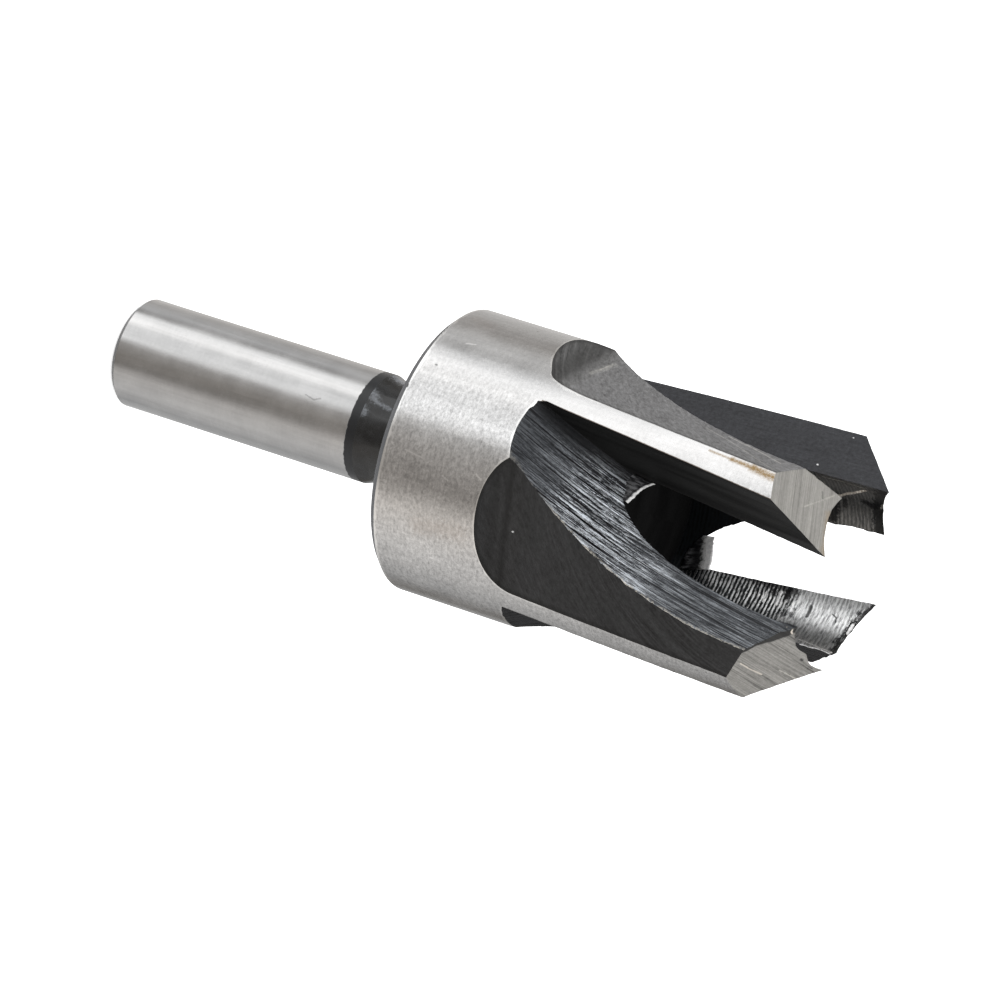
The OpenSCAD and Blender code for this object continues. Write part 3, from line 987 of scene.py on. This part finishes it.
def boredSteel():
    material, tree, marks, tone = startMaterial("boredSteel")
    height = coordinate(tree, marks, "Y")
    around = coordinate(tree, marks, "X")
    level = coordinate(tree, tone, "X")
    wander = markNoise(tree, marks, 0.45, 0.8, 4, 0.65)
    turns = plus(tree, times(tree, height, math.tau / cutter["ribPitch"]), times(tree, around, 1.2))
    turns = plus(tree, turns, times(tree, wander, 6.5))
    broken = markNoise(tree, marks, 1.0, 3.0, 4, 0.8)
    uneven = remap(tree, broken, 0.3, 0.7, -0.7, 0.7)
    rib = remap(tree, plus(tree, maths(tree, "SINE", turns), uneven), -0.3, 0.8)
    patchy = markNoise(tree, marks, 0.7, 0.9, 3, 0.7, shift=(5, 2, 0))
    ribLight = times(tree, rib, remap(tree, broken, 0.39, 0.55, 0.16, 1.0))
    ribLight = times(tree, ribLight, remap(tree, patchy, 0.34, 0.51, 0.55, 1.35))
    # burnished near the tips, where the ribs are rubbed almost flat
    burnished = remap(tree, plus(tree, height, remap(tree, broken, 0.3, 0.7, -1.3, 1.3)), 63.5, 64.9)
    streak = markNoise(tree, marks, 1.1, 4.0, 4, 0.75)
    # the far claw's wall, darker by its painted shade, keeps more of its ribs
    keep = remap(tree, level, 0.2, 0.3, 0.5, 0.3)
    rubbed = mixValue(tree, keep, remap(tree, streak, 0.38, 0.58, 0.36, 1.1), rib)
    bright = mixValue(tree, burnished, ribLight, rubbed)
    colour = mixColour(tree, bright, (0.004, 0.005, 0.006, 1), tone)
    # dark and ragged along the end
    ragged = plus(tree, rimPlace(tree), remap(tree, broken, 0.3, 0.7, -0.35, 0.35))
    colour = mixColour(tree, remap(tree, ragged, 0.50, 0.30, 0.0, 0.9), colour, grey(0.02))
    colour = withFlaws(tree, "boredSteel", colour)
    rough = mixValue(tree, remap(tree, level, 0.02, 0.15), 0.9, mixValue(tree, burnished, 0.36, 0.32))
    metal = times(tree, remap(tree, bright, 0.05, 0.5, 0.1, 1.0), remap(tree, level, 0.02, 0.1))
    lift = plus(tree, times(tree, rib, mixValue(tree, burnished, 1.0, 0.15)), times(tree, streak, 0.3))
    lift = times(tree, lift, remap(tree, level, 0.02, 0.1))
    return finishMaterial(material, colour, rough, metal, lift, 0.00006, 0.5, 0.0001, SpecularIORLevel=0.2)


def milledFloor():
    material, tree, marks, tone = startMaterial("milledFloor")
    streaks = useGroup(tree, toolStreaks, Vector=marks, Seed=0.0)
    grains = useGroup(tree, groundGrain, Vector=marks)
    along = coordinate(tree, marks, "X")
    fromWall = maths(tree, "MODULO", coordinate(tree, marks, "Y"), 20.0)
    # the marks are drawn sharper at the deep end than by the tips
    sharp = remap(tree, along, -12, -20)
    lines = streaks["Lines"]
    light = times(tree, lines, mixValue(tree, streaks["Broad"], 0.34, 0.90))
    dashes = times(tree, streaks["Dashes"], mixValue(tree, sharp, 0.5, 1.0))
    light = plus(tree, light, dashes)
    sparkle = markNoise(tree, marks, 0.7, 5.5, 5, 0.85, shift=(2, 6, 0))
    sparkle = remap(tree, sparkle, 0.36, 0.64, 0.22, 1.75)
    light = times(tree, light, sparkle, clamp=True)
    crisp = remap(tree, light, 0.09, 0.72, 0.0, 1.38)
    light = mixValue(tree, sharp, mixValue(tree, 0.15, light, 0.26), crisp)
    # where the mill ran out its marks are long and plain
    deep = remap(tree, along, -22.5, -26)
    longMarks = markNoise(tree, marks, 0.05, 3.4, 5, 0.78, 0.1, shift=(4, 9, 0))
    longMarks = remap(tree, longMarks, 0.43, 0.63, 0.02, 0.42)
    longMarks = times(tree, longMarks, mixValue(tree, 0.5, 1.0, sparkle))
    light = mixValue(tree, times(tree, deep, 0.85), light, longMarks)
    # all of them are broken into glints, but least so by the tips
    glint = markNoise(tree, marks, 2.4, 6.0, 4, 0.85, shift=(8, 2, 0))
    glint = remap(tree, glint, 0.38, 0.62, 0.5, 1.5)
    light = times(tree, light, mixValue(tree, sharp, 1.0, glint))
    colour = mixColour(tree, light, (0.008, 0.009, 0.011, 1), tone)
    dip = times(tree, streaks["Grooves"], mixValue(tree, sharp, 0.75, 1.0))
    hairlines = markNoise(tree, marks, 0.035, 6.5, 3, 0.7, 0.1, shift=(6, 3, 0))
    dip = maths(tree, "MAXIMUM", dip, remap(tree, hairlines, 0.44, 0.39, 0.0, 0.85))
    colour = mixColour(tree, dip, colour, (0.003, 0.003, 0.004, 1))
    # painted shade: the wall's foot stays black at the deep end
    foot = times(tree, remap(tree, fromWall, 1.5, 0.3), remap(tree, along, -15, -22))
    colour = mixColour(tree, times(tree, foot, 0.6), colour, (0.005, 0.005, 0.006, 1))
    # the edge towards the flat is nicked, and the nicks are painted bright as highlights
    nick = markNoise(tree, marks, 1.3, 1.3, 4, 0.75)
    rim = plus(tree, rimPlace(tree), remap(tree, nick, 0.35, 0.65, -0.16, 0.16))
    nicked = times(tree, remap(tree, rim, 0.14, 0.03), remap(tree, nick, 0.40, 0.55))
    nicked = times(tree, nicked, mixValue(tree, deep, 1.0, 0.12))
    colour = mixColour(tree, nicked, colour, (0.66, 0.62, 0.55, 1))
    colour = withFlaws(tree, "milledFloor", colour)
    metal = remap(tree, light, 0.1, 0.7, 0.2, 1.0)
    height = minus(tree, plus(tree, lines, streaks["Broad"]),
                   times(tree, streaks["Grooves"], 1.8))
    height = plus(tree, height, times(tree, grains["Grain"], 0.6))
    return finishMaterial(material, colour, 0.42, metal, height, 0.00004, 0.7, 0.00007, SpecularIORLevel=0.3)


def milledFlat():
    material, tree, marks, tone = startMaterial("milledFlat")
    grains = useGroup(tree, groundGrain, Vector=marks)
    arcs = markNoise(tree, marks, 0.10, 3.4, 3, 0.65, 0.1)
    patch = remap(tree, markNoise(tree, marks, 0.22, 0.35, 2, 0.5), 0.42, 0.62)
    arcs = swing(tree, arcs, mixValue(tree, patch, 0.25, 1.0))
    high = coordinate(tree, marks, "Y")
    arcShare = minus(tree, remap(tree, high, 28, 30, 0.9, 3.6), remap(tree, high, 52, 56, 0.0, 2.4))
    shade = maths(tree, "MULTIPLY_ADD", arcs, arcShare, 1.0)
    shade = plus(tree, shade, swing(tree, grains["Grain"], remap(tree, high, 28, 30, 3.8, 2.8)))
    shade = plus(tree, shade, swing(tree, grains["Cloud"], 0.6))
    shade = plus(tree, shade, times(tree, grains["Specks"], 0.7))
    # darker along the outline
    shade = times(tree, shade, remap(tree, rimPlace(tree), 0.05, 0.28, 0.55, 1.0))
    colour = mixColour(tree, 1.0, tone, shade, "MULTIPLY")
    colour = withFlaws(tree, "milledFlat", colour)
    height = plus(tree, arcs, times(tree, grains["Grain"], 0.4))
    return finishMaterial(material, colour, 0.45, 0.3, height, 0.00004, 0.6, 0.0001, SpecularIORLevel=0.4)


def groundTip():
    material, tree, marks, tone = startMaterial("groundTip")
    streaks = useGroup(tree, toolStreaks, Vector=marks, Seed=7.0)
    grains = useGroup(tree, groundGrain, Vector=marks)
    high = coordinate(tree, marks, "Y")
    # the first claw's end face is ground finer than the others
    rough = remap(tree, high, 20, 22, 0.78, 1.4)
    shade = mixValue(tree, streaks["Broad"], -0.12, 0.08)
    shade = plus(tree, shade, mixValue(tree, streaks["Lines"], -0.16, 0.14))
    shade = minus(tree, shade, times(tree, streaks["Grooves"], 0.26))
    shade = plus(tree, shade, times(tree, streaks["Dashes"], 0.12))
    shade = plus(tree, shade, swing(tree, grains["Grain"], 0.8))
    shade = maths(tree, "MULTIPLY_ADD", shade, rough, 1.0)
    colour = mixColour(tree, 1.0, tone, shade, "MULTIPLY")
    # torn and dark where the gullet's mill ran out, more so towards the bore
    torn = plus(tree, rimPlace(tree), remap(tree, grains["Cloud"], 0.3, 0.7, -0.12, 0.12))
    torn = maths(tree, "DIVIDE", torn, remap(tree, high, 28, 31.5, 0.22, 0.85))
    torn = times(tree, remap(tree, torn, 1.05, 0.75), remap(tree, high, 20, 22))
    colour = mixColour(tree, times(tree, torn, 0.92), colour, grey(0.018))
    colour = withFlaws(tree, "groundTip", colour)
    return finishMaterial(material, colour, 0.42, 0.5, streaks["Lines"], 0.00002, 0.5, 0.0001)


def tornSteel():
    # thin torn metal: painted black as shade, and pale along its torn rim, partly worn metal and partly a
    # painted highlight
    material, tree = blankMaterial("tornSteel")
    torn = addNode(tree, "Attribute", {"attribute_name": "torn"}).outputs["Fac"]
    place = placeInMm(tree)
    rough = noiseOf(tree, place, 3.0, 4, 0.7)
    rim = remap(tree, plus(tree, torn, remap(tree, rough, 0.3, 0.7, -0.2, 0.2)), 1.25, 0.5)
    pale = mixColour(tree, remap(tree, rough, 0.35, 0.62), grey(0.70), (0.98, 0.97, 0.96, 1))
    ribs = markNoise(tree, place, 1.2, 5.0, 3, 0.7)
    plain = mixColour(tree, remap(tree, ribs, 0.42, 0.62), (0.005, 0.005, 0.006, 1), (0.12, 0.12, 0.125, 1))
    # painted shade: the wide web is almost black behind its rim
    plain = mixColour(tree, remap(tree, torn, 2.2, 1.6, 0.0, 0.75), plain, (0.008, 0.008, 0.009, 1))
    colour = mixColour(tree, rim, plain, pale)
    return finishMaterial(material, colour, 0.45, 0.0, rough, 0.00006, 0.6, None, SpecularIORLevel=0.2)


makers = {"groundSteel": groundSteel, "blackSteel": blackSteel, "boredSteel": boredSteel,
          "milledFloor": milledFloor, "milledFlat": milledFlat, "groundTip": groundTip,
          "scuffedBlack": scuffedBlack, "deepBlack": deepBlack}
cutterSteel = makeCutter()
for finishName in finishNames:
    cutterSteel.data.materials.append(makers[finishName]())
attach(cutterSteel, "root")
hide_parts("plug_cutter")
print("cutter dressed")

# where the mills broke into the bore they left thin torn webs: height across the gullet, how far
# along the tool the torn rim lies there, how far out it bends, and how wide it shows pale, a rim that is
# partly worn metal and partly a painted highlight
tornWebs = {
    "tornLip": {"claw": 0, "rim": [(1.35, 54.39), (1.8, 54.05), (2.3, 53.73), (3.1, 53.25), (3.75, 52.94)],
                "bow": [(1.35, 0.36), (2.3, 0.46), (3.1, 0.05), (3.75, -0.1)],
                "thick": 0.12, "jag": 0.10, "pale": 0.24},
    "tornWeb": {"claw": 2, "rim": [(0.75, 56.62), (1.5, 56.50), (2.1, 56.28), (2.71, 56.01), (3.4, 55.72),
                                   (4.05, 55.5)],
                "bow": [(0.75, -0.25), (4.05, 0.0)], "thick": 0.15, "jag": 0.12, "pale": 1.1},
}


def floorX(k, y, z):
    # how far out from the tool's axis the floor of gullet k lies, in its claw's frame
    claw = claws[k]
    away = Vector((0, y, z)) - claw["millCentre"]
    away.x = 0
    height = away.dot(claw["rakeNormal"])
    fall = (away - claw["rakeNormal"] * height).length
    return claw["millCentre"].x - math.sqrt(millRim(claw, height) ** 2 - fall * fall)


def boreEdgeZ(k, y):
    # where along the tool the floor of gullet k meets the bore
    low, high = 45.0, 62.0
    for _ in range(30):
        z = (low + high) / 2
        low, high = (z, high) if math.hypot(floorX(k, y, z), y) > boreRadius(z) else (low, z)
    return z


def makeTornWeb(name, plan):
    k, rim = plan["claw"], plan["rim"]
    rows, columns = 28, 12
    bm = bmesh.new()
    tornLayer = bm.verts.layers.float.new("torn")
    sides = []
    for side in range(2):
        grid = []
        for i in range(rows + 1):
            y = rim[0][0] + (rim[-1][0] - rim[0][0]) * i / rows
            start = boreEdgeZ(k, y) - 0.25
            end = between(rim, y) + noise.noise(Vector((y * 4, k, 3))) * plan["jag"]
            end = max(end, start + 0.27)
            line = []
            for j in range(columns + 1):
                part = j / columns
                z = start + (end - start) * part
                x = floorX(k, y, z) + between(plan["bow"], y) * part * part - 0.02
                x -= side * plan["thick"] * (1 - 0.5 * part)
                x += noise.noise(Vector((y * 3, z * 3, side))) * 0.05 * part
                vert = bm.verts.new(inClaw(-k, Vector((x, y, z))) * mm)
                vert[tornLayer] = (end - z) / plan["pale"]
                line.append(vert)
            grid.append(line)
        sides.append(grid)
        for a, b in zip(grid, grid[1:]):
            for quad in zip(a, a[1:], b[1:], b):
                bm.faces.new(quad if side == 0 else quad[::-1])
    outer, inner = sides
    ends = [(outer[0], inner[0]), (outer[-1], inner[-1])]
    ends += [([row[j] for row in outer], [row[j] for row in inner]) for j in (-1, 0)]
    for a, b in ends:
        for p, q, r, t in zip(a, a[1:], b[1:], b):
            bm.faces.new((p, q, r, t))
    bmesh.ops.recalc_face_normals(bm, faces=bm.faces)
    for face in bm.faces:
        face.smooth = True
    return meshObject(name, bm)


tornFinish = tornSteel()
for name, plan in tornWebs.items():
    piece = makeTornWeb(name, plan)
    piece.data.materials.append(tornFinish)
    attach(piece, "root")
print("torn webs made")
